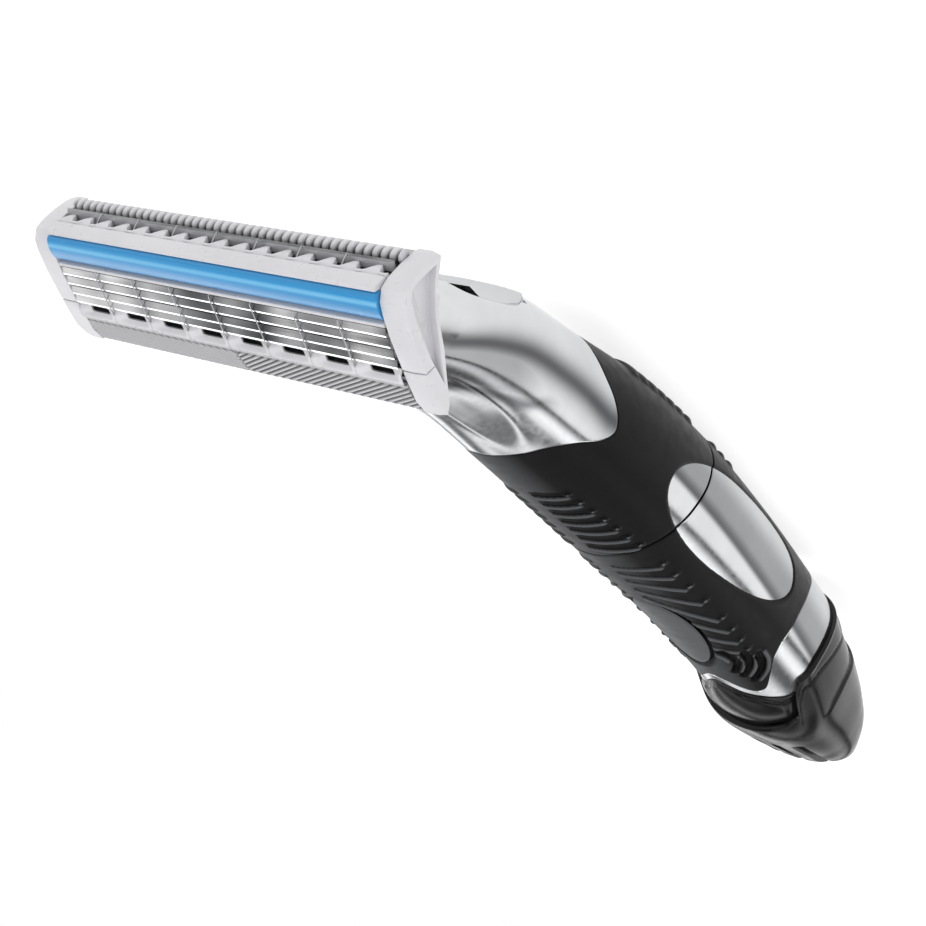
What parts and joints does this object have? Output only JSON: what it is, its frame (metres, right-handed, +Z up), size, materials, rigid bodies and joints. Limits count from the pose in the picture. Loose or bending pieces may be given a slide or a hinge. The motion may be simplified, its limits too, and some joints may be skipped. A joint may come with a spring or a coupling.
{
  "type": "cartridge razor",
  "caption": "Wet razor with a pivoting blade cartridge, a curved plated and rubber handle, and a battery trimmer with a slide-on comb at its end.",
  "frame": {"origin": "on the flat of the handle's thumb side, on which the razor lies, below the middle of the grip", "axes": "+X along the cartridge, +Y from the trimmer towards the shaving head, +Z up, the way the blades face"},
  "size_m": [0.0416, 0.1413, 0.0275],
  "materials": {
    "light_plastic": "satin light grey moulding",
    "blade_steel": "ground blade steel",
    "chrome": "satin chrome plating",
    "black_rubber": "soft matte",
    "grey_rubber": "soft ribbed",
    "blue_strip": "smooth wax-like",
    "black_gloss": "polished",
    "dark_plastic": "moulded",
    "spring_steel": "drawn wire",
    "battery_jacket": "printed film",
    "contact_brass": "stamped"
  },
  "bodies": {
    "trimmer_handle": {"lower_body": "chrome", "lower_grip": "black_rubber", "lower_side_trim_left": "chrome", "lower_side_trim_right": "chrome", "battery": "battery_jacket", "contact_plate": "contact_brass", "motor": "spring_steel", "power_switch": "dark_plastic", "o_ring": "black_rubber", "trimmer_collar": "black_gloss", "fixed_blade": "blade_steel"},
    "head_unit": {"head_body": "chrome", "upper_grip": "black_rubber", "upper_side_trim_left": "chrome", "upper_side_trim_right": "chrome", "battery_spring": "spring_steel", "plunger_spring": "spring_steel", "eject_spring": "spring_steel"},
    "eject_slide": {"eject_button": "chrome"},
    "plunger": {"plunger": "dark_plastic"},
    "connector": {"cartridge_connector": "light_plastic", "pivot_pin_left": "spring_steel", "pivot_pin_right": "spring_steel"},
    "cartridge": {"cartridge_frame": "light_plastic", "end_cap_left": "light_plastic", "end_cap_right": "light_plastic", "guard_strip": "grey_rubber", "lube_strip": "blue_strip", "edging_guard": "light_plastic", "edging_bar": "light_plastic", "edging_blade": "blade_steel", "blade_1": "blade_steel", "blade_2": "blade_steel", "blade_3": "blade_steel", "blade_4": "blade_steel", "wrap_wire_1": "blade_steel", "wrap_wire_2": "blade_steel", "wrap_wire_3": "blade_steel", "wrap_wire_4": "blade_steel", "wrap_wire_5": "blade_steel", "wrap_wire_6": "blade_steel", "wrap_wire_7": "blade_steel"},
    "power_key": {"power_button": "black_rubber"},
    "comb": {"comb": "black_gloss"},
    "cam": {"drive_cam": "dark_plastic"},
    "cutter": {"moving_cutter": "blade_steel", "cutter_carrier": "dark_plastic"}
  },
  "joints": [
    {"name": "handle_pull", "type": "slide", "parent": "trimmer_handle", "child": "head_unit", "axis": [0, 1, 0], "range_m": [0, 0.045]},
    {"name": "cartridge_release", "type": "slide", "parent": "head_unit", "child": "connector", "axis": [0, 0.8829, 0.4695], "range_m": [0, 0.012]},
    {"name": "cartridge_pivot", "type": "hinge", "parent": "connector", "child": "cartridge", "pos_m": [0, 0.07531, 0.02276], "axis": [-1, 0, 0], "range_deg": [0, 38], "stiffness_Nm_per_rad": 0.004, "springref_deg": -14.32},
    {"name": "plunger_slide", "type": "slide", "parent": "head_unit", "child": "plunger", "axis": [0, -0.8829, -0.4695], "range_m": [0, 0.0014], "deforming": ["plunger_spring"]},
    {"name": "eject_press", "type": "slide", "parent": "head_unit", "child": "eject_slide", "axis": [0, 0.9659, 0.2588], "range_m": [0, 0.003], "stiffness_N_per_m": 200, "springref_m": -0.0005, "deforming": ["eject_spring"]},
    {"name": "power_press", "type": "slide", "parent": "trimmer_handle", "child": "power_key", "axis": [0, 0, -1], "range_m": [0, 0.0005], "stiffness_N_per_m": 800, "springref_m": -0.0002},
    {"name": "comb_slide", "type": "slide", "parent": "trimmer_handle", "child": "comb", "axis": [0, -1, 0], "range_m": [0, 0.02]},
    {"name": "motor_spin", "type": "hinge", "parent": "trimmer_handle", "child": "cam", "pos_m": [0, -0.0314, 0.0106], "axis": [0, 1, 0], "continuous": true},
    {"name": "cutter_slide", "type": "slide", "parent": "trimmer_handle", "child": "cutter", "axis": [1, 0, 0], "range_m": [-0.0005, 0.0005]}
  ],
  "couplings": [
    {"joint": "plunger_slide", "follows": "cartridge_pivot", "m_per_rad": 0.0018}
  ]
}
